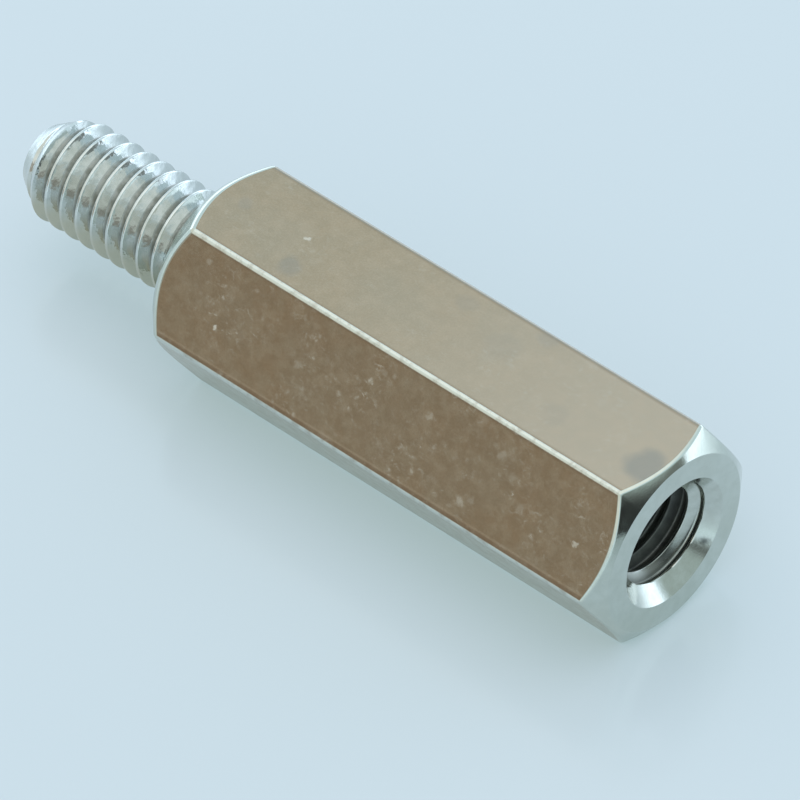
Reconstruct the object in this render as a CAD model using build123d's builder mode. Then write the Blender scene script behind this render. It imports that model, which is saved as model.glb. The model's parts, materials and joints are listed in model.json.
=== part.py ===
"""Hex standoff turned from one length of hexagon bar: a stud at one end, a tapped blind hole at the other."""

import os
from math import cos, pi, radians, tan

from build123d import *

# Lengths are in millimetres and angles in degrees.

# Hexagon bar, lying along X on one of its flats
across_flats = 7.0
body_length = 20.0
corner_rounding = 0.2

# Turned ends of the bar: how far the rim of each end face stands in from the flats, the slope of the
# chamfer that runs from that rim out across the corners, and the rounding where it runs out
mouth_face_inset = 0.23
mouth_chamfer_angle = 36.0
shoulder_face_inset = 0.23
shoulder_chamfer_angle = 45.0
edge_break = 0.12

# Stud for an M4 x 0.7 thread, at the diameter of its thread crests
stud_diameter = 3.86
stud_length = 7.9
stud_root_fillet = 0.15
tip_chamfer_length = 1.08
tip_chamfer_height = 0.71

# Blind hole for an M4 x 0.7 thread, at the diameter of its tapping drill
hole_diameter = 3.3
hole_depth = 12.0
drill_point_angle = 118.0
countersink_diameter = 4.77
countersink_angle = 90.0

# Places along the bar's axis, with the origin under the middle of the whole length
overall_length = body_length + stud_length
mouth_x = overall_length / 2
shoulder_x = mouth_x - body_length
tip_x = -overall_length / 2
axis_height = across_flats / 2

# Radii about that axis
flat_radius = across_flats / 2
corner_radius = flat_radius / cos(pi / 6)
mouth_face_radius = flat_radius - mouth_face_inset
shoulder_face_radius = flat_radius - shoulder_face_inset
stud_radius = stud_diameter / 2
tip_radius = stud_radius - tip_chamfer_height
hole_radius = hole_diameter / 2
countersink_radius = countersink_diameter / 2

# Depths along the axis
mouth_chamfer_depth = (corner_radius - mouth_face_radius) * tan(radians(mouth_chamfer_angle))
shoulder_chamfer_depth = (corner_radius - shoulder_face_radius) * tan(radians(shoulder_chamfer_angle))
countersink_depth = (countersink_radius - hole_radius) / tan(radians(countersink_angle / 2))
drill_point_depth = hole_radius / tan(radians(drill_point_angle / 2))

bar_axis = Axis((0, 0, axis_height), (1, 0, 0))
bar_section = Plane(origin=(shoulder_x, 0, axis_height), x_dir=(0, 1, 0), z_dir=(1, 0, 0))
turning_plane = Plane(origin=(0, 0, axis_height), x_dir=(1, 0, 0), z_dir=(0, -1, 0))

with BuildPart() as hex_standoff:
    # Bar with slightly rounded corners
    with BuildSketch(bar_section):
        RegularPolygon(radius=flat_radius, side_count=6, major_radius=False)
    extrude(amount=body_length)
    fillet(hex_standoff.edges().filter_by(Axis.X), radius=corner_rounding)

    # Both ends faced and chamfered on the lathe, which scallops the ends of the flats
    with BuildSketch(turning_plane):
        with BuildLine():
            Polyline(
                (shoulder_x, 0),
                (shoulder_x, shoulder_face_radius),
                (shoulder_x + shoulder_chamfer_depth, corner_radius),
                (mouth_x - mouth_chamfer_depth, corner_radius),
                (mouth_x, mouth_face_radius),
                (mouth_x, 0),
                close=True,
            )
        make_face()
    revolve(axis=bar_axis, mode=Mode.INTERSECT)

    # Scalloped edges, softened where the chamfers meet the flats and the rounded corners
    flat_scallops = hex_standoff.edges().filter_by(GeomType.HYPERBOLA)
    corner_scallops = hex_standoff.edges().filter_by(GeomType.BSPLINE)
    fillet(flat_scallops + corner_scallops, radius=edge_break)

    # Stud with a chamfered tip
    with BuildSketch(turning_plane):
        with BuildLine():
            Polyline(
                (tip_x, 0),
                (tip_x, tip_radius),
                (tip_x + tip_chamfer_length, stud_radius),
                (shoulder_x, stud_radius),
                (shoulder_x, 0),
                close=True,
            )
        make_face()
    revolve(axis=bar_axis)

    # Small turning radius where the stud leaves the shoulder
    stud_wall = hex_standoff.faces().filter_by(GeomType.CYLINDER).sort_by(Axis.X)[0]
    stud_root = stud_wall.edges().filter_by(GeomType.CIRCLE).sort_by(Axis.X)[-1]
    fillet(stud_root, radius=stud_root_fillet)

    # Drilled hole with its countersunk mouth and the cone that the drill point leaves
    with BuildSketch(turning_plane):
        with BuildLine():
            Polyline(
                (mouth_x, 0),
                (mouth_x, countersink_radius),
                (mouth_x - countersink_depth, hole_radius),
                (mouth_x - hole_depth, hole_radius),
                (mouth_x - hole_depth - drill_point_depth, 0),
                close=True,
            )
        make_face()
    revolve(axis=bar_axis, mode=Mode.SUBTRACT)

os.makedirs("parts", exist_ok=True)
hex_standoff.part.label = "hex_standoff"
export_step(hex_standoff.part, "parts/hex_standoff.step")
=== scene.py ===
import json
from math import atan2, ceil, cos, pi, radians, sin, sqrt, tan

import bmesh
import bpy
from mathutils import Matrix, Vector


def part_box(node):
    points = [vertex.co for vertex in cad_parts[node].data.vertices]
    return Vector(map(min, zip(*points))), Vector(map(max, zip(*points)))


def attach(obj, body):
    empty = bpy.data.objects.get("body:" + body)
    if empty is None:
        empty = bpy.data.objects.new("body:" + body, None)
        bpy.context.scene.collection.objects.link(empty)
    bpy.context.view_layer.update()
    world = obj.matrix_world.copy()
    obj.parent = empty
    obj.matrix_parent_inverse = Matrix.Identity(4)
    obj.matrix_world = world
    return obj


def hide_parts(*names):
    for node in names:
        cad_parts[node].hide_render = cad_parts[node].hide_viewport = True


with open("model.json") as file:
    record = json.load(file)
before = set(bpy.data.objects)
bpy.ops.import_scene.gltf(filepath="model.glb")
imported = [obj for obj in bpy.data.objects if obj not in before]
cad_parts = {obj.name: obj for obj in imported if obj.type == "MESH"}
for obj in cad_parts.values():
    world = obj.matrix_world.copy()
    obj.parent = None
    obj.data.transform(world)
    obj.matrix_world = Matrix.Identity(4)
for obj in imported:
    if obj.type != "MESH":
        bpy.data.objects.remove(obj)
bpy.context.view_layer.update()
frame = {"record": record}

# Sizes are in millimetres, as the part is small. The finished mesh is scaled to metres.
MM = 0.001

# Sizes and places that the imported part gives
low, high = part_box("hex_standoff")
mounts = {mount["name"]: mount for mount in frame["record"]["mounts"]}
ACROSS_FLATS = high.z / MM
AXIS_Z = ACROSS_FLATS / 2
FLAT_RADIUS = ACROSS_FLATS / 2
TIP_X = low.x / MM
MOUTH_X = high.x / MM
SHOULDER_X = mounts["stud_shoulder"]["pos_m"][0] / MM
STUD_RADIUS = mounts["threaded_stud"]["dims"]["r_mm"]
HOLE_RADIUS = mounts["tapped_hole"]["dims"]["r_mm"]
BODY_MIDDLE_X = (SHOULDER_X + MOUTH_X) / 2
AXIS_POINT = Vector((0, 0, AXIS_Z))
AXIS = Vector((1, 0, 0))

# Hexagon bar and its turned ends
SIDES = 6
SIDE_ANGLE = 2 * pi / SIDES
CORNER_ROUNDING = 0.2
CORNER_CUTS = 5
FACE_INSET = 0.23
MOUTH_CHAMFER_ANGLE = radians(36)
SHOULDER_CHAMFER_ANGLE = radians(45)
SHOULDER_SOFTNESS = 0.14
MOUTH_SOFTNESS = 0.085
SCALLOP_SEGMENTS = 5
BAR_STEPS = 240
BLANK_CLEARANCE = 0.4

# Stud
ROOT_FILLET = 0.15
ROOT_FILLET_STEPS = 4
TIP_CHAMFER_LENGTH = 1.08
TIP_CHAMFER_HEIGHT = 0.71

# Tapped hole. The thread's mesh is finer where it breaks through the countersink.
HOLE_DEPTH = 12.0
DRILL_POINT_ANGLE = radians(118)
COUNTERSINK_RADIUS = 2.385
THREADED_DEPTH = 10.0
FINER_LENGTH = 1.2
FINER_CUTS = 3

# Thread, M4 x 0.7
PITCH = 0.7
LEAD_IN_TURNS = 1.5
THREAD_STEPS = 120
STUD_THREAD_DEPTH = 0.385
STUD_ROOT_RADIUS = STUD_RADIUS - STUD_THREAD_DEPTH
STUD_THREAD_SHIFT = -0.217
HOLE_THREAD_DEPTH = 0.36
HOLE_THREAD_SHIFT = -0.16
RUN_OUT_LENGTH = 0.8
PLAIN_LENGTH = 0.2
LATHE_SOFTNESS = 0.04

# One pitch of thread: shares of the pitch along the axis, and of the thread's depth
HALF_FORM = [
    (0.000, 1.000), (0.035, 1.000), (0.056, 0.988), (0.072, 0.958), (0.086, 0.919), (0.200, 0.562),
    (0.330, 0.156), (0.352, 0.092), (0.385, 0.036), (0.430, 0.008), (0.500, 0.000),
]
STUD_FORM = HALF_FORM + [(1 - along, height) for along, height in reversed(HALF_FORM[:-1])]
HOLE_FORM = [(along, 1 - height) for along, height in STUD_FORM]

# Mesh
TOUCHING = 1e-4
CUT_TOLERANCE = 1e-6
SHARP_ANGLE = radians(35)
NICKEL, FLAT, BORE, CORNER, THREAD = range(5)

# Marks on the flats: distance along the bar, angle of the flat round the axis, distance across the flat,
# size and strength
TOP_FLAT = radians(90)
FRONT_FLAT = radians(150)
LOW_FLAT = radians(210)
BRIGHT_SPECKS = [
    (-2.02, TOP_FLAT, -0.13, 0.15, 0.70), (-3.18, FRONT_FLAT, 0.55, 0.17, 0.95),
    (-4.15, FRONT_FLAT, -1.37, 0.15, 0.35), (-2.10, FRONT_FLAT, -1.38, 0.18, 0.32),
    (5.82, FRONT_FLAT, -0.81, 0.25, 0.40), (7.88, FRONT_FLAT, 1.19, 0.24, 0.42),
    (12.46, FRONT_FLAT, 0.36, 0.16, 0.65), (5.11, FRONT_FLAT, 0.70, 0.15, 0.38),
    (0.39, FRONT_FLAT, 0.11, 0.18, 0.30), (8.82, FRONT_FLAT, -0.96, 0.24, 0.32),
    (3.61, FRONT_FLAT, -1.31, 0.20, 0.25), (9.45, FRONT_FLAT, -0.49, 0.25, 0.22),
    (10.14, FRONT_FLAT, 0.32, 0.26, 0.28), (8.26, FRONT_FLAT, 0.95, 0.20, 0.26),
]
SMUDGES = [
    (13.35, TOP_FLAT, 0.62, 1.0, 0.60), (-1.51, TOP_FLAT, 1.22, 0.5, 0.34),
    (-4.68, TOP_FLAT, -0.11, 0.4, 0.22), (6.2, TOP_FLAT, -0.55, 0.8, 0.12),
    (9.4, TOP_FLAT, 0.75, 0.7, 0.10), (3.94, TOP_FLAT, -1.29, 0.6, 0.15),
    (6.98, TOP_FLAT, -1.80, 0.5, 0.22),
]

# A dark spot on the countersink
MOUTH_DARK_SPOT = (MOUTH_X - 0.185, 1.734, -1.354)
MOUTH_DARK_SPOT_SIZE = 0.25

# Where the finishes change: a flat's skin, the painted shade by the corners of the flats, the greying of
# their painted brown reflection, the painted shade on the back corners, the painted highlight line and
# painted shade on the front flat, the painted shade in the stud's grooves, its underside's painted tint and
# its dents, and the bore inward of its countersink, by radius less distance along the bar. A pair is the
# start and the end of a soft change.
SKIN = (FLAT_RADIUS - 0.08, FLAT_RADIUS)
CORNER_SHADE_RADII = (3.93, 3.985)
GREYER_REFLECTION = (SHOULDER_X + 4, MOUTH_X)
BACK_CORNER_SHADE = (-1.0, 1.0)
# The painted highlight line near the front flat's low edge, where the flat starts to roll off, and the
# painted shade past it
ROLL_OFF_LINE = 1.74
ROLL_OFF_LINE_EDGE = (0.07, 0.01)
PAST_ROLL_OFF_LINE = (ROLL_OFF_LINE, ROLL_OFF_LINE + 0.08)
GROOVE_SHADE_RADII = (STUD_ROOT_RADIUS + 0.07, STUD_ROOT_RADIUS)
GROOVE_SHADE_FROM_TIP = (TIP_X + 0.6, TIP_X + 0.9)
GROOVE_SHADE_FROM_SHOULDER = (SHOULDER_X - 0.4, SHOULDER_X - 0.7)
STUD_UNDERSIDE = (0.7, -0.4)
DENTS_FROM_TIP = (TIP_X, TIP_X + 0.3)
OFF_COUNTERSINK = (COUNTERSINK_RADIUS - MOUTH_X + 0.16, COUNTERSINK_RADIUS - MOUTH_X + 0.55)

# Colours of the nickel, of the painted reflection, painted shade and painted highlight, of the marks on the
# flats, and of the bore
BRIGHT = (0.600, 0.635, 0.590)
DULLED = (0.562, 0.592, 0.540)
MOTTLED = (0.510, 0.542, 0.490)
STUD_BRIGHT = (0.645, 0.675, 0.670)
STUD_MOTTLED = (0.540, 0.575, 0.555)
# A painted tint on the stud's underside, where it mirrors the table, and painted shade in its grooves
STUD_UNDERSIDE_PAINTED_TINT = (0.575, 0.545, 0.445)
GROOVE_PAINTED_SHADE = (0.16, 0.17, 0.15)
CORNER_BRIGHT = (0.610, 0.635, 0.590)
# Random brown spots on the corners, and the painted shade on the back corners
CORNER_SPOTS_AND_SHADE = (0.300, 0.255, 0.200)
# The flats' brown: a painted reflection of brown surroundings, with its patches, mottling, blotches and
# greyer tone
BROWN_REFLECTION = (0.400, 0.303, 0.204)
BROWN_REFLECTION_PATCHES = (0.392, 0.313, 0.222)
BROWN_REFLECTION_MOTTLED = (0.421, 0.341, 0.248)
BROWN_REFLECTION_BLOTCHES = (0.300, 0.245, 0.170)
# Lighter rubbed spots, and also the painted highlight line on the front flat
RUBBED_AND_HIGHLIGHT = (0.560, 0.470, 0.370)
BROWN_REFLECTION_GREYER = (0.470, 0.385, 0.294)
# Painted shade by the corners and past the line on the front flat, and the low flat's painted reflection of
# the pale table
PAINTED_SHADE_BY_CORNER = (0.270, 0.200, 0.140)
PAINTED_SHADE_PAST_LINE = (0.290, 0.205, 0.140)
LOW_FLAT_PAINTED_REFLECTION = (0.520, 0.550, 0.500)
SMUDGE = (0.27, 0.265, 0.245)
SPECK = (0.62, 0.58, 0.51)
MOUTH_BRIGHT = (0.608, 0.632, 0.592)
MOUTH_MOTTLED = (0.545, 0.565, 0.520)
MOUTH_SPOT_COLOUR = (0.16, 0.17, 0.16)
BORE_DARK = (0.22, 0.23, 0.21)
BORE_MOTTLED = (0.16, 0.165, 0.155)

# Camera, found by fitting the photograph's edges
VIEW_AZIMUTH = radians(43.225)
VIEW_ELEVATION = radians(45.193)
VIEW_ROLL = radians(-1.922)
VIEW_DISTANCE = 281.26
VIEW_AIM = Vector((BODY_MIDDLE_X - 1.077, -0.921, AXIS_Z))
FOCAL_PIXELS = 8567.5
IMAGE_PIXELS = 800
SENSOR_MM = 36
NEAREST_SEEN_M = 0.01

# Light all round: azimuth, elevation, half width, half height and soft edge of each panel in degrees,
# and its colour
HORIZON = (0.83, 1.03, 1.13)
OVERHEAD = (1.28, 1.34, 1.30)
OVERHEAD_FROM, OVERHEAD_FULL = radians(42), radians(62)
PANELS = [
    (-125, 28, 75, 20, 8, (0.96, 1.00, 0.93)),
    (112, 0, 68, 17, 2, (1.72, 2.00, 2.30)),
    (5, 22, 40, 14, 6, (0.45, 0.56, 0.55)),
    (8, 4, 35, 15, 3, (0.22, 0.25, 0.24)),
    (-3, 5, 22, 11, 5, (0.04, 0.045, 0.045)),
    (-122, 5, 21, 10, 5, (0.450, 0.425, 0.369)),
]

# Table: its colour, the part of it that the object's shadow darkens, the part that glows for the camera and
# in reflections and so lightens that shadow, and its sheen
TABLE = (0.59, 0.69, 0.76)
TABLE_SHADED = (0.340, 0.342, 0.428)
TABLE_GLOW = (0.240, 0.334, 0.323)
TABLE_ROUGHNESS = 0.18
TABLE_RADIUS_M = 3
TABLE_SIDES = 96


def radius_of(vert):
    """How far a vertex is from the bar's axis."""
    return sqrt(vert.co.y**2 + (vert.co.z - AXIS_Z) ** 2)


def set_radius(vert, radius):
    """Moves a vertex straight towards or away from the bar's axis."""
    scale = radius / radius_of(vert)
    vert.co.y *= scale
    vert.co.z = AXIS_Z + (vert.co.z - AXIS_Z) * scale


def turned_by(edge):
    """How far an edge turns round the bar's axis, in radians."""
    (y, z), (next_y, next_z) = ((vert.co.y, vert.co.z - AXIS_Z) for vert in edge.verts)
    return abs(atan2(y * next_z - z * next_y, y * next_y + z * next_z))


def share_of(value):
    """A value held between 0 and 1."""
    return min(max(value, 0), 1)


def soft_min(a, b, softness):
    """The smaller of two values, with a rounded change from one to the other."""
    share = share_of(0.5 + 0.5 * (b - a) / softness)
    return b + (a - b) * share - softness * share * (1 - share)


def soft_max(a, b, softness):
    """The larger of two values, with a rounded change from one to the other."""
    return -soft_min(-a, -b, softness)


def profile_edges(bm, points):
    """A chain of edges through (x, radius) points above the bar's axis."""
    verts = [bm.verts.new((x, 0, AXIS_Z + radius)) for x, radius in points]
    return verts + [bm.edges.new(pair) for pair in zip(verts, verts[1:])]


def cut_edges(bm, place, outward):
    """Takes away what lies outward of a plane, and returns the edges along the cut."""
    geom = bm.verts[:] + bm.edges[:] + bm.faces[:]
    cut = bmesh.ops.bisect_plane(
        bm, geom=geom, dist=CUT_TOLERANCE, plane_co=place, plane_no=outward, clear_outer=True)
    return [item for item in cut["geom_cut"] if isinstance(item, bmesh.types.BMEdge)]


def draw_out(bm, edges, x, radius):
    """Extends an open end to a ring at x with that radius, and returns the new ring's edges."""
    grown = bmesh.ops.extrude_edge_only(bm, edges=edges)["geom"]
    for vert in (item for item in grown if isinstance(item, bmesh.types.BMVert)):
        vert.co.x = x
        set_radius(vert, radius)
    return [e for e in grown if isinstance(e, bmesh.types.BMEdge) and e.is_boundary]


def mill_side(bm, angle, distance, finish):
    """Cuts one long side on the bar, at that angle round its axis and that distance from it."""
    outward = Vector((0, cos(angle), sin(angle)))
    rim = cut_edges(bm, AXIS_POINT + distance * outward, outward)
    for face in bmesh.ops.holes_fill(bm, edges=rim)["faces"]:
        face.material_index = finish


def hex_bar():
    """The hexagonal body: a turned blank with both ends' chamfers, cut to six flats with rounded corners."""
    bm = bmesh.new()
    face_radius = FLAT_RADIUS - FACE_INSET
    blank_radius = FLAT_RADIUS / cos(SIDE_ANGLE / 2) + BLANK_CLEARANCE
    reach = blank_radius - face_radius
    blank = profile_edges(bm, [
        (SHOULDER_X, (STUD_RADIUS + ROOT_FILLET + face_radius) / 2),
        (SHOULDER_X, face_radius),
        (SHOULDER_X + reach * tan(SHOULDER_CHAMFER_ANGLE), blank_radius),
        (MOUTH_X - reach * tan(MOUTH_CHAMFER_ANGLE), blank_radius),
        (MOUTH_X, face_radius),
        (MOUTH_X, (COUNTERSINK_RADIUS + face_radius) / 2),
    ])
    bmesh.ops.spin(
        bm, geom=blank, cent=AXIS_POINT, axis=AXIS, angle=2 * pi, steps=BAR_STEPS, use_merge=True)
    for side in range(SIDES):
        mill_side(bm, (side + 0.5) * SIDE_ANGLE, FLAT_RADIUS, FLAT)
    rounding_centre = (FLAT_RADIUS - CORNER_ROUNDING) / cos(SIDE_ANGLE / 2)
    for corner in range(SIDES):
        for cut in range(CORNER_CUTS):
            lean = ((cut + 1) / (CORNER_CUTS + 1) - 0.5) * SIDE_ANGLE
            distance = rounding_centre * cos(lean) + CORNER_ROUNDING
            mill_side(bm, corner * SIDE_ANGLE + lean, distance, CORNER)
    soften_scallops(bm)
    return bm


def soften_scallops(bm):
    """Rounds the curved edges where the chamfers cut the flats, more at the shoulder than at the mouth."""
    scallops = [
        e for e in bm.edges if sorted(f.material_index > NICKEL for f in e.link_faces) == [False, True]]
    at_shoulder = [e for e in scallops if e.verts[0].co.x < BODY_MIDDLE_X]
    at_mouth = [e for e in scallops if e.verts[0].co.x > BODY_MIDDLE_X]
    for edges, softness in ((at_shoulder, SHOULDER_SOFTNESS), (at_mouth, MOUTH_SOFTNESS)):
        rounding = bmesh.ops.bevel(
            bm, geom=edges, offset=softness, offset_type="OFFSET", affect="EDGES",
            segments=SCALLOP_SEGMENTS, profile=0.5, material=-1)
        for face in rounding["faces"]:
            face.material_index = NICKEL


def screw_thread(bm, form, root, depth, x_from, x_to, shift):
    """A right-hand thread's surface about the bar's axis. It runs past both ends, to be cut back."""
    start = x_from - LEAD_IN_TURNS * PITCH + shift
    pitch = profile_edges(bm, [(start + along * PITCH, root + depth * height) for along, height in form])
    bmesh.ops.spin(
        bm, geom=pitch, cent=AXIS_POINT, axis=AXIS, dvec=AXIS * (PITCH / THREAD_STEPS), angle=2 * pi,
        steps=THREAD_STEPS)
    one_turn = bm.verts[:] + bm.edges[:] + bm.faces[:]
    for turn in range(1, ceil((x_to - x_from) / PITCH) + 2):
        copied = bmesh.ops.duplicate(bm, geom=one_turn)["geom"]
        verts = [item for item in copied if isinstance(item, bmesh.types.BMVert)]
        bmesh.ops.translate(bm, vec=AXIS * (PITCH * turn), verts=verts)
    bmesh.ops.remove_doubles(bm, verts=bm.verts, dist=TOUCHING)


def stud():
    """The threaded stud, from the cap of its tip to the root radius on the shoulder."""
    bm = bmesh.new()
    neck_x = SHOULDER_X - ROOT_FILLET
    screw_thread(bm, STUD_FORM, STUD_ROOT_RADIUS, STUD_THREAD_DEPTH, TIP_X, neck_x, STUD_THREAD_SHIFT)
    slope = TIP_CHAMFER_HEIGHT / TIP_CHAMFER_LENGTH
    for vert in bm.verts:
        faded = share_of((vert.co.x - neck_x + PLAIN_LENGTH + RUN_OUT_LENGTH) / RUN_OUT_LENGTH)
        groove = STUD_ROOT_RADIUS - LATHE_SOFTNESS + (STUD_THREAD_DEPTH + LATHE_SOFTNESS) * faded
        radius = soft_max(radius_of(vert), groove, LATHE_SOFTNESS)
        cone = STUD_RADIUS - TIP_CHAMFER_HEIGHT + (vert.co.x - TIP_X) * slope
        set_radius(vert, soft_min(soft_min(radius, cone, LATHE_SOFTNESS), STUD_RADIUS, TOUCHING))
    tip = cut_edges(bm, (TIP_X, 0, 0), -AXIS)
    bmesh.ops.contextual_create(bm, geom=tip)
    rim = cut_edges(bm, (neck_x, 0, 0), AXIS)
    for step in range(1, ROOT_FILLET_STEPS + 1):
        turn = step / ROOT_FILLET_STEPS * pi / 2
        rim = draw_out(
            bm, rim, neck_x + ROOT_FILLET * sin(turn), STUD_RADIUS + ROOT_FILLET * (1 - cos(turn)))
    for face in bm.faces:
        face.material_index = THREAD
    return bm


def tapped_hole():
    """The blind hole: countersunk mouth, thread, plain drilled wall and the cone of the drill point."""
    bm = bmesh.new()
    thread_end = MOUTH_X - THREADED_DEPTH
    screw_thread(bm, HOLE_FORM, HOLE_RADIUS, HOLE_THREAD_DEPTH, thread_end, MOUTH_X, HOLE_THREAD_SHIFT)
    near_mouth = [
        e for e in bm.edges
        if min(v.co.x for v in e.verts) > MOUTH_X - FINER_LENGTH and turned_by(e) < TOUCHING]
    bmesh.ops.subdivide_edges(bm, edges=near_mouth, cuts=FINER_CUTS, use_grid_fill=True)
    for vert in bm.verts:
        faded = share_of((vert.co.x - thread_end) / RUN_OUT_LENGTH)
        radius = min(radius_of(vert), HOLE_RADIUS + HOLE_THREAD_DEPTH * faded)
        cone = COUNTERSINK_RADIUS - (MOUTH_X - vert.co.x)
        set_radius(vert, soft_max(radius, cone, LATHE_SOFTNESS))
    cut_edges(bm, (MOUTH_X, 0, 0), AXIS)
    rim = cut_edges(bm, (thread_end, 0, 0), -AXIS)
    rim = draw_out(bm, rim, MOUTH_X - HOLE_DEPTH, HOLE_RADIUS)
    point_x = MOUTH_X - HOLE_DEPTH - HOLE_RADIUS / tan(DRILL_POINT_ANGLE / 2)
    rim = draw_out(bm, rim, point_x, TOUCHING)
    bmesh.ops.pointmerge(
        bm, verts=list({v for e in rim for v in e.verts}), merge_co=(point_x, 0, AXIS_Z))
    for face in bm.faces:
        face.material_index = BORE
    return bm


def standoff_mesh():
    """Joins the bar, the stud and the hole into one closed mesh, in metres."""
    mesh = bpy.data.meshes.new("standoff")
    whole = bmesh.new()
    for part in (hex_bar(), stud(), tapped_hole()):
        part.to_mesh(mesh)
        part.free()
        whole.from_mesh(mesh)
    for x in (SHOULDER_X, MOUTH_X):
        rims = [e for e in whole.edges if e.is_boundary and abs(e.verts[0].co.x - x) < TOUCHING]
        bmesh.ops.bridge_loops(whole, edges=rims)
    bmesh.ops.recalc_face_normals(whole, faces=whole.faces)
    bmesh.ops.scale(whole, vec=(MM, MM, MM), verts=whole.verts)
    for face in whole.faces:
        face.smooth = True
    whole.to_mesh(mesh)
    whole.free()
    return mesh


def link(tree, *pairs):
    """Joins sockets, given as pairs of a source and a target."""
    for source, target in pairs:
        tree.links.new(source, target)


def node(tree, kind, **settings):
    """A new node with its settings."""
    made = tree.nodes.new(kind)
    for name, value in settings.items():
        setattr(made, name, value)
    return made


def reckon(tree, operation, first, second=None):
    """One step of arithmetic on sockets or numbers."""
    made = node(tree, "ShaderNodeMath", operation=operation)
    for place, value in enumerate((first, second)):
        if isinstance(value, bpy.types.NodeSocket):
            link(tree, (value, made.inputs[place]))
        elif value is not None:
            made.inputs[place].default_value = value
    return made.outputs["Value"]


def times(tree, first, second):
    """The product of two values."""
    return reckon(tree, "MULTIPLY", first, second)


def larger(tree, first, second):
    """The larger of two values."""
    return reckon(tree, "MAXIMUM", first, second)


def ramp(tree, value, start, end, low_value=0.0, high_value=1.0):
    """A soft step from the low to the high value, as a value goes from start to end."""
    made = node(tree, "ShaderNodeMapRange", interpolation_type="SMOOTHSTEP")
    numbers = {"From Min": start, "From Max": end, "To Min": low_value, "To Max": high_value}
    for name, number in numbers.items():
        made.inputs[name].default_value = number
    link(tree, (value, made.inputs["Value"]))
    return made.outputs["Result"]


def between(tree, share, low_value, high_value):
    """A value from low to high, by a share from 0 to 1."""
    return ramp(tree, share, 0, 1, low_value, high_value)


def blend(tree, share, first, second):
    """Two colours, or sockets of colour, mixed by a share."""
    made = node(tree, "ShaderNodeMix", data_type="RGBA")
    for name, value in (("Factor", share), ("A", first), ("B", second)):
        socket = next(s for s in made.inputs if s.name == name and s.enabled)
        if isinstance(value, bpy.types.NodeSocket):
            link(tree, (value, socket))
        else:
            socket.default_value = (*value, 1)
    return next(s for s in made.outputs if s.enabled)


def noise(tree, place, scale, detail, roughness=0.5):
    """Smooth random values from 0 to 1."""
    made = node(tree, "ShaderNodeTexNoise")
    for name, number in (("Scale", scale), ("Detail", detail), ("Roughness", roughness)):
        made.inputs[name].default_value = number
    link(tree, (place, made.inputs["Vector"]))
    return made.outputs["Fac"]


def stir(tree, place, scale, reach):
    """A place shifted unevenly by up to half of reach, so that marks get ragged outlines."""
    shift = node(tree, "ShaderNodeTexNoise")
    shift.inputs["Scale"].default_value = scale
    centred = node(tree, "ShaderNodeVectorMath", operation="SUBTRACT")
    centred.inputs[1].default_value = (0.5, 0.5, 0.5)
    warped = node(tree, "ShaderNodeVectorMath", operation="MULTIPLY_ADD")
    warped.inputs[1].default_value = (reach, reach, reach)
    link(
        tree,
        (place, shift.inputs["Vector"]),
        (shift.outputs["Color"], centred.inputs[0]),
        (centred.outputs["Vector"], warped.inputs[0]),
        (place, warped.inputs[2]),
    )
    return warped.outputs["Vector"]


def split(tree, place):
    """The X, Y and Z of a place."""
    parts = node(tree, "ShaderNodeSeparateXYZ")
    link(tree, (place, parts.inputs["Vector"]))
    return parts.outputs


def from_axis(tree, place):
    """How far a place is from the bar's axis."""
    across = node(tree, "ShaderNodeVectorMath", operation="MULTIPLY")
    across.inputs[1].default_value = (0, 1, 1)
    away = node(tree, "ShaderNodeVectorMath", operation="LENGTH")
    link(tree, (place, across.inputs[0]), (across.outputs["Vector"], away.inputs[0]))
    return away.outputs["Value"]


def along_direction(tree, place, direction):
    """How far a place lies along a direction from the bar's axis."""
    made = node(tree, "ShaderNodeVectorMath", operation="DOT_PRODUCT")
    made.inputs[1].default_value = direction
    link(tree, (place, made.inputs[0]))
    return made.outputs["Value"]


def on_side(tree, place, angle, share=1.0):
    """A mask of one flat, by its angle round the bar's axis."""
    outward = (0, cos(angle), sin(angle))
    return ramp(tree, along_direction(tree, place, outward), *SKIN, 0, share)


def on_flat(along, angle, across):
    """The place on a flat, about the bar's axis."""
    y = FLAT_RADIUS * cos(angle) - across * sin(angle)
    z = FLAT_RADIUS * sin(angle) + across * cos(angle)
    return along, y, z


def spot(tree, warped, middle, size, core):
    """A mask of one mark: 1 within the core's share of its size, and 0 outside its size."""
    away = node(tree, "ShaderNodeVectorMath", operation="DISTANCE")
    away.inputs[1].default_value = middle
    link(tree, (warped, away.inputs[0]))
    return ramp(tree, away.outputs["Value"], size, size * core)


def uneven_plating():
    """Node group: slow patches, mottling and grain, as on metal that was plated in a barrel and handled."""
    group = bpy.data.node_groups.new("uneven plating", "ShaderNodeTree")
    group.interface.new_socket("Place", in_out="INPUT", socket_type="NodeSocketVector")
    for name in ("Patches", "Mottle", "Grain"):
        group.interface.new_socket(name, in_out="OUTPUT", socket_type="NodeSocketFloat")
    place = node(group, "NodeGroupInput").outputs["Place"]
    out = node(group, "NodeGroupOutput")
    patches = noise(group, place, scale=0.35, detail=4, roughness=0.55)
    mottle = noise(group, place, scale=2.2, detail=4, roughness=0.6)
    link(
        group,
        (ramp(group, patches, 0.35, 0.65), out.inputs["Patches"]),
        (ramp(group, mottle, 0.35, 0.68), out.inputs["Mottle"]),
        (noise(group, place, scale=14, detail=3), out.inputs["Grain"]),
    )
    return group


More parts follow.
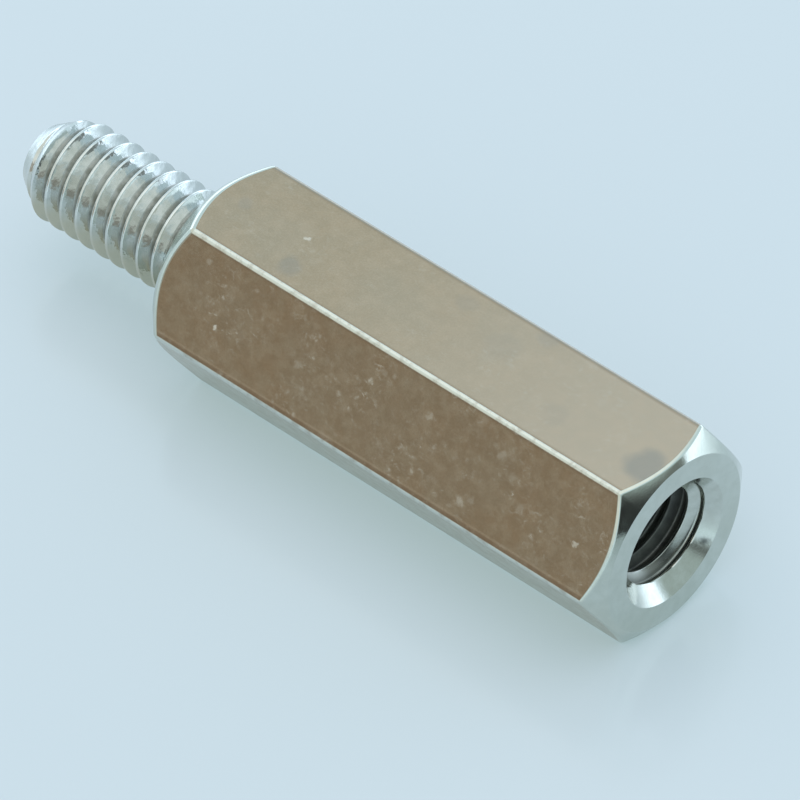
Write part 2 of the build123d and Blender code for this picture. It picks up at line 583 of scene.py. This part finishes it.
def metal(name, plating):
    """A metal's material, with its tree, shader, places in millimetres from the bar's axis, and plating."""
    material = bpy.data.materials.new(name)
    material.use_nodes = True
    tree = material.node_tree
    shader = tree.nodes["Principled BSDF"]
    shader.inputs["Metallic"].default_value = 1
    coordinates = node(tree, "ShaderNodeTexCoord")
    centred = node(tree, "ShaderNodeMapping")
    centred.inputs["Location"].default_value = (0, 0, -AXIS_Z)
    centred.inputs["Scale"].default_value = (1 / MM, 1 / MM, 1 / MM)
    uneven = node(tree, "ShaderNodeGroup", node_tree=plating)
    link(
        tree,
        (coordinates.outputs["Object"], centred.inputs["Vector"]),
        (centred.outputs["Vector"], uneven.inputs["Place"]),
    )
    return material, tree, shader, centred.outputs["Vector"], uneven.outputs


def roughen(tree, shader, height, strength, distance):
    """Fine relief from a height, over a distance in millimetres."""
    bump = node(tree, "ShaderNodeBump")
    bump.inputs["Strength"].default_value = strength
    bump.inputs["Distance"].default_value = distance * MM
    link(tree, (height, bump.inputs["Height"]), (bump.outputs["Normal"], shader.inputs["Normal"]))


def bright_nickel(plating):
    """The turned faces and chamfers: bright nickel with a trace of dulling and a fine grain."""
    material, tree, shader, _, uneven = metal("bright_nickel", plating)
    toned = blend(tree, uneven["Patches"], BRIGHT, DULLED)
    mottled = blend(tree, times(tree, uneven["Mottle"], 0.5), toned, MOTTLED)
    link(
        tree,
        (mottled, shader.inputs["Base Color"]),
        (between(tree, uneven["Mottle"], 0.09, 0.15), shader.inputs["Roughness"]),
    )
    roughen(tree, shader, uneven["Grain"], strength=0.12, distance=0.01)
    return material


def threaded_nickel(plating):
    """The stud: dented nickel, with a painted tint towards its underside where it mirrors the table, and
    painted shade in the thread's grooves.
    """
    material, tree, shader, place, uneven = metal("threaded_nickel", plating)
    xyz = split(tree, place)
    # Painted shade: the thread's grooves darker, away from the tip and the shoulder
    deep = ramp(tree, from_axis(tree, place), *GROOVE_SHADE_RADII)
    past_tip = ramp(tree, xyz["X"], *GROOVE_SHADE_FROM_TIP)
    before_shoulder = ramp(tree, xyz["X"], *GROOVE_SHADE_FROM_SHOULDER)
    in_groove = times(tree, deep, times(tree, past_tip, before_shoulder))
    groove_shade = times(tree, in_groove, between(tree, uneven["Mottle"], 0.75, 0.95))

    mottled = blend(tree, times(tree, uneven["Mottle"], 0.7), STUD_BRIGHT, STUD_MOTTLED)
    # A painted tint towards the underside, where the stud mirrors the table
    toned = blend(tree, ramp(tree, xyz["Z"], *STUD_UNDERSIDE), mottled, STUD_UNDERSIDE_PAINTED_TINT)
    dullness = larger(tree, groove_shade, times(tree, uneven["Mottle"], 0.3))
    link(
        tree,
        (blend(tree, groove_shade, toned, GROOVE_PAINTED_SHADE), shader.inputs["Base Color"]),
        (between(tree, dullness, 0.12, 0.42), shader.inputs["Roughness"]),
    )
    off_tip_face = ramp(tree, xyz["X"], *DENTS_FROM_TIP)
    dents = times(tree, noise(tree, place, scale=3.2, detail=2), off_tip_face)
    roughen(tree, shader, dents, strength=0.45, distance=0.05)
    return material


def worn_corners(plating):
    """The long corners: bright nickel with random brown spots, and painted shade that darkens them towards
    the back.
    """
    material, tree, shader, place, uneven = metal("worn_corners", plating)
    spots = ramp(tree, noise(tree, place, scale=2.6, detail=3, roughness=0.6), 0.45, 0.70, 0.0, 0.45)
    # Painted shade: the corners darker towards the back
    spots_and_shade = larger(tree, spots, ramp(tree, split(tree, place)["Y"], *BACK_CORNER_SHADE, 0, 0.9))
    link(
        tree,
        (blend(tree, spots_and_shade, CORNER_BRIGHT, CORNER_SPOTS_AND_SHADE), shader.inputs["Base Color"]),
        (between(tree, uneven["Mottle"], 0.14, 0.20), shader.inputs["Roughness"]),
    )
    roughen(tree, shader, uneven["Grain"], strength=0.2, distance=0.01)
    return material


def drawn_flats(plating):
    """The six flats: a warm brown over the nickel, painted in as the reflection of brown surroundings, with
    specks, smudges and painted shade and highlight along their edges.
    """
    material, tree, shader, place, uneven = metal("drawn_flats", plating)
    on_top = on_side(tree, place, TOP_FLAT)
    flat_tone = mottled_brown_reflection(tree, place, uneven, on_top)
    flat_tone = painted_edge_shading(tree, place, flat_tone)
    flat_tone = smudged_flats(tree, place, flat_tone)
    specks = bright_specks(tree, place, on_top)
    link(
        tree,
        (blend(tree, specks, flat_tone, SPECK), shader.inputs["Base Color"]),
        (between(tree, specks, 1.0, 0.25), shader.inputs["Metallic"]),
        (between(tree, uneven["Mottle"], 0.20, 0.26), shader.inputs["Roughness"]),
    )
    roughen(tree, shader, uneven["Grain"], strength=0.2, distance=0.01)
    return material


def mottled_brown_reflection(tree, place, uneven, on_top):
    """The flats' painted brown reflection: patchy, with darker blotches, and greyer towards the mouth on the
    top flat.
    """
    flat_tone = blend(tree, uneven["Patches"], BROWN_REFLECTION, BROWN_REFLECTION_PATCHES)
    flat_tone = blend(tree, times(tree, uneven["Mottle"], 0.4), flat_tone, BROWN_REFLECTION_MOTTLED)
    blotches = ramp(tree, noise(tree, place, scale=1.3, detail=5, roughness=0.65), 0.40, 0.62, 0.24, 0)
    flat_tone = blend(tree, blotches, flat_tone, BROWN_REFLECTION_BLOTCHES)
    flat_tone = blend(tree, ramp(tree, uneven["Grain"], 0.35, 0.70, 0, 0.16), flat_tone, RUBBED_AND_HIGHLIGHT)
    towards_mouth = ramp(tree, split(tree, place)["X"], *GREYER_REFLECTION)
    return blend(tree, times(tree, towards_mouth, on_top), flat_tone, BROWN_REFLECTION_GREYER)


def painted_edge_shading(tree, place, flat_tone):
    """Painted shade by the corners, the low flat painted less brown where it mirrors the pale table, and a
    painted highlight line with painted shade past it on the front flat.
    """
    # Painted shade: the flats darker close to their corners
    by_corner = ramp(tree, from_axis(tree, place), *CORNER_SHADE_RADII, 0, 0.5)
    flat_tone = blend(tree, by_corner, flat_tone, PAINTED_SHADE_BY_CORNER)
    # Painted reflection: the low flat less brown, where it mirrors the pale table
    flat_tone = blend(tree, on_side(tree, place, LOW_FLAT, 0.4), flat_tone, LOW_FLAT_PAINTED_REFLECTION)

    # A painted highlight line near the front flat's low edge, and painted shade past it
    on_front = on_side(tree, place, FRONT_FLAT)
    across = along_direction(tree, place, (0, -sin(FRONT_FLAT), cos(FRONT_FLAT)))
    past_line = times(tree, ramp(tree, across, *PAST_ROLL_OFF_LINE, 0, 0.45), on_front)
    flat_tone = blend(tree, past_line, flat_tone, PAINTED_SHADE_PAST_LINE)
    off_line = reckon(tree, "ABSOLUTE", reckon(tree, "SUBTRACT", across, ROLL_OFF_LINE))
    line = times(tree, ramp(tree, off_line, *ROLL_OFF_LINE_EDGE, 0, 0.35), on_front)
    return blend(tree, line, flat_tone, RUBBED_AND_HIGHLIGHT)


def smudged_flats(tree, place, flat_tone):
    """The flats' colour with the grey smudges on the top flat."""
    stirred = stir(tree, place, scale=0.8, reach=0.9)
    for along, angle, across, size, share in SMUDGES:
        smudge = spot(tree, stirred, on_flat(along, angle, across), size, core=0.45)
        flat_tone = blend(tree, times(tree, smudge, share), flat_tone, SMUDGE)
    return flat_tone


def bright_specks(tree, place, on_top):
    """A mask of the scuffs, fainter on the top flat, and of the single bright specks."""
    specks = times(tree, scuffs(tree, place), between(tree, on_top, 1.0, 0.35))
    warped = stir(tree, place, scale=5.0, reach=0.45)
    for along, angle, across, size, share in BRIGHT_SPECKS:
        speck = spot(tree, warped, on_flat(along, angle, across), size, core=0.3)
        specks = larger(tree, specks, times(tree, speck, share))
    return specks


def scuffs(tree, place):
    """A mask of a faint veil, short scratches and fine dots, thicker in some places than in others."""
    total = ramp(tree, noise(tree, place, scale=1.6, detail=5, roughness=0.7), 0.50, 0.72, 0, 0.22)
    for turn in ((0.3, 0.5, 0.4), (-0.5, 0.9, -0.6)):
        laid = node(tree, "ShaderNodeMapping")
        laid.inputs["Rotation"].default_value = turn
        laid.inputs["Scale"].default_value = (2.8, 5.0, 5.0)
        link(tree, (stir(tree, place, scale=2.0, reach=0.7), laid.inputs["Vector"]))
        streaks = noise(tree, laid.outputs["Vector"], scale=1.0, detail=4, roughness=0.65)
        total = larger(tree, total, ramp(tree, streaks, 0.54, 0.74, 0, 0.50))
    total = larger(tree, total, fine_dots(tree, place))
    thick = ramp(tree, noise(tree, place, scale=0.5, detail=3), 0.42, 0.62, 0.2, 1.0)
    return times(tree, total, thick)


def fine_dots(tree, place):
    """A mask of small dots, each of its own strength."""
    dust = node(tree, "ShaderNodeTexVoronoi")
    dust.inputs["Scale"].default_value = 2.2
    chance = node(tree, "ShaderNodeSeparateColor")
    link(
        tree,
        (stir(tree, place, scale=3.0, reach=0.3), dust.inputs["Vector"]),
        (dust.outputs["Color"], chance.inputs["Color"]),
    )
    strength = ramp(tree, chance.outputs["Red"], 0.3, 1.0, 0, 0.55)
    return times(tree, ramp(tree, dust.outputs["Distance"], 0.30, 0.05), strength)


def dull_bore(plating):
    """The tapped hole: as bright as the face at its mouth, and dark and dull further in."""
    material, tree, shader, place, uneven = metal("dull_bore", plating)
    bright = blend(tree, uneven["Mottle"], MOUTH_BRIGHT, MOUTH_MOTTLED)
    dark_spot = spot(tree, stir(tree, place, scale=3.0, reach=0.4), MOUTH_DARK_SPOT, MOUTH_DARK_SPOT_SIZE, core=0.2)
    spotted = blend(tree, times(tree, dark_spot, 0.9), bright, MOUTH_SPOT_COLOUR)
    dark = blend(tree, uneven["Mottle"], BORE_DARK, BORE_MOTTLED)
    off_cone = reckon(tree, "SUBTRACT", from_axis(tree, place), split(tree, place)["X"])
    inward = ramp(tree, off_cone, *OFF_COUNTERSINK)
    link(
        tree,
        (blend(tree, inward, spotted, dark), shader.inputs["Base Color"]),
        (between(tree, inward, 0.16, 0.50), shader.inputs["Roughness"]),
    )
    roughen(tree, shader, uneven["Grain"], strength=0.15, distance=0.01)
    return material


def dressed_standoff():
    """The whole standoff with its finishes, in place of the plain solid."""
    mesh = standoff_mesh()
    plating = uneven_plating()
    for finish in (bright_nickel, drawn_flats, dull_bore, worn_corners, threaded_nickel):
        mesh.materials.append(finish(plating))
    mesh.set_sharp_from_angle(angle=SHARP_ANGLE)
    standoff = bpy.data.objects.new("standoff", mesh)
    bpy.context.scene.collection.objects.link(standoff)
    even = standoff.modifiers.new("even normals", "WEIGHTED_NORMAL")
    even.keep_sharp = True
    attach(standoff, "root")
    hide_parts("hex_standoff")


def camera():
    """The camera at the photograph's angle."""
    level_reach = cos(VIEW_ELEVATION)
    back = Vector((sin(VIEW_AZIMUTH) * level_reach, -cos(VIEW_AZIMUTH) * level_reach, sin(VIEW_ELEVATION)))
    level = Vector((cos(VIEW_AZIMUTH), sin(VIEW_AZIMUTH), 0))
    rise = back.cross(level)
    right = cos(VIEW_ROLL) * level + sin(VIEW_ROLL) * rise
    up = back.cross(right)
    data = bpy.data.cameras.new("camera")
    data.sensor_width = SENSOR_MM
    data.lens = SENSOR_MM * FOCAL_PIXELS / IMAGE_PIXELS
    data.clip_start = NEAREST_SEEN_M
    made = bpy.data.objects.new("camera", data)
    place = (VIEW_AIM + back * VIEW_DISTANCE) * MM
    made.matrix_world = Matrix.Translation(place) @ Matrix((right, up, back)).transposed().to_4x4()
    bpy.context.scene.collection.objects.link(made)
    bpy.context.scene.camera = made


def table_top():
    """The pale blue table, with a faint, soft sheen, glowing in part for the camera and in reflections so
    that its shadow is lighter.
    """
    bm = bmesh.new()
    bmesh.ops.create_circle(bm, cap_ends=True, segments=TABLE_SIDES, radius=TABLE_RADIUS_M)
    mesh = bpy.data.meshes.new("floor")
    bm.to_mesh(mesh)
    bm.free()
    material = bpy.data.materials.new("table_top")
    material.use_nodes = True
    tree = material.node_tree
    shader = tree.nodes["Principled BSDF"]
    shader.inputs["Emission Color"].default_value = (*TABLE_GLOW, 1)
    shader.inputs["Roughness"].default_value = TABLE_ROUGHNESS
    path = node(tree, "ShaderNodeLightPath").outputs
    seen = larger(tree, path["Is Camera Ray"], path["Is Glossy Ray"])
    seen = larger(tree, seen, path["Is Transmission Ray"])
    link(
        tree,
        (blend(tree, seen, TABLE, TABLE_SHADED), shader.inputs["Base Color"]),
        (seen, shader.inputs["Emission Strength"]),
    )
    mesh.materials.append(material)
    made = bpy.data.objects.new("floor", mesh)
    bpy.context.scene.collection.objects.link(made)


def panel_mask(tree, azimuth, elevation, panel):
    """A mask of one panel of light, as it is seen from the object."""
    toward, rise, half_width, half_height, edge = (radians(angle) for angle in panel)
    turn = node(tree, "ShaderNodeMath", operation="WRAP")
    turn.inputs[1].default_value = pi
    turn.inputs[2].default_value = -pi
    link(tree, (reckon(tree, "SUBTRACT", azimuth, toward), turn.inputs[0]))
    sideways = reckon(tree, "ABSOLUTE", turn.outputs["Value"])
    upward = reckon(tree, "ABSOLUTE", reckon(tree, "SUBTRACT", elevation, rise))
    return times(
        tree,
        ramp(tree, sideways, half_width + edge, half_width - edge),
        ramp(tree, upward, half_height + edge, half_height - edge))


def studio():
    """Soft light all round, brighter overhead, with a bright band behind and darker panels to the sides."""
    world = bpy.data.worlds.new("studio")
    world.use_nodes = True
    bpy.context.scene.world = world
    tree = world.node_tree
    direction = split(tree, node(tree, "ShaderNodeTexCoord").outputs["Generated"])
    azimuth = reckon(tree, "ARCTAN2", direction["Y"], direction["X"])
    elevation = reckon(tree, "ARCSINE", direction["Z"])
    colour = blend(tree, ramp(tree, elevation, OVERHEAD_FROM, OVERHEAD_FULL), HORIZON, OVERHEAD)
    for *panel, tint in PANELS:
        colour = blend(tree, panel_mask(tree, azimuth, elevation, panel), colour, tint)
    link(tree, (colour, tree.nodes["Background"].inputs["Color"]))


dressed_standoff()
camera()
table_top()
studio()
bpy.context.scene.view_settings.view_transform = "Standard"
